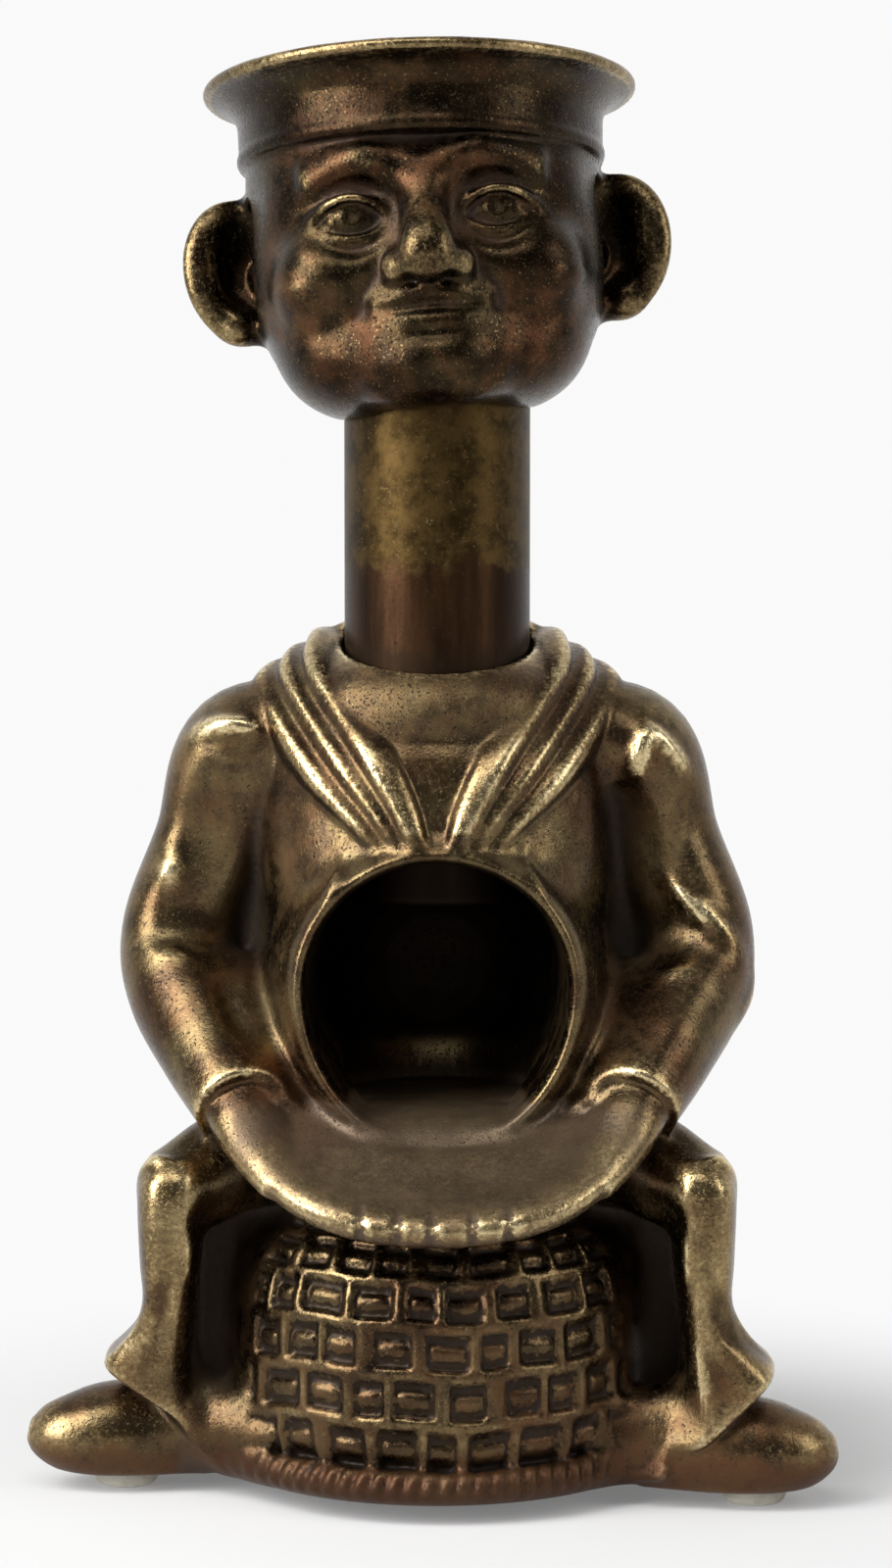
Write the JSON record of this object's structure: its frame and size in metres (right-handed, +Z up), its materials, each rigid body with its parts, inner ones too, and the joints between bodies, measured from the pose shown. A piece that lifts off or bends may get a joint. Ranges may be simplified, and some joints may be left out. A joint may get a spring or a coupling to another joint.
{
  "type": "cast iron nutcracker",
  "caption": "Cast iron nutcracker shaped as a seated sailor, whose head slides down on a round neck to crack a nut in the belly chamber above cupped hands.",
  "frame": {"origin": "on the table, under the middle of the object's outline", "axes": "+Z up along the neck's slide, -Y the way the figure looks, +X to the right of someone who faces it"},
  "size_m": [0.1356, 0.0886, 0.2419],
  "materials": {
    "iron_casting": "dark brown patina, worn to pale brassy metal on raised edges, rust brown in recesses",
    "neck_iron": "olive grey speckled patina above, smooth dark brown below where it slides",
    "clear_rubber": "pale translucent stick-on bumper"
  },
  "bodies": {
    "stand": {"body_casting": "iron_casting", "pad_front_left": "clear_rubber", "pad_front_right": "clear_rubber", "pad_rear_left": "clear_rubber", "pad_rear_right": "clear_rubber"},
    "neck": {"neck_plunger": "neck_iron"},
    "head": {"head_casting": "iron_casting"}
  },
  "joints": [
    {"name": "neck_slide", "type": "slide", "parent": "stand", "child": "neck", "axis": [0, 0, 1], "range_m": [-0.0325, 0.05]},
    {"name": "head_turn", "type": "hinge", "parent": "neck", "child": "head", "pos_m": [0, 0.00287, 0.1855], "axis": [0, 0, 1], "continuous": true}
  ]
}
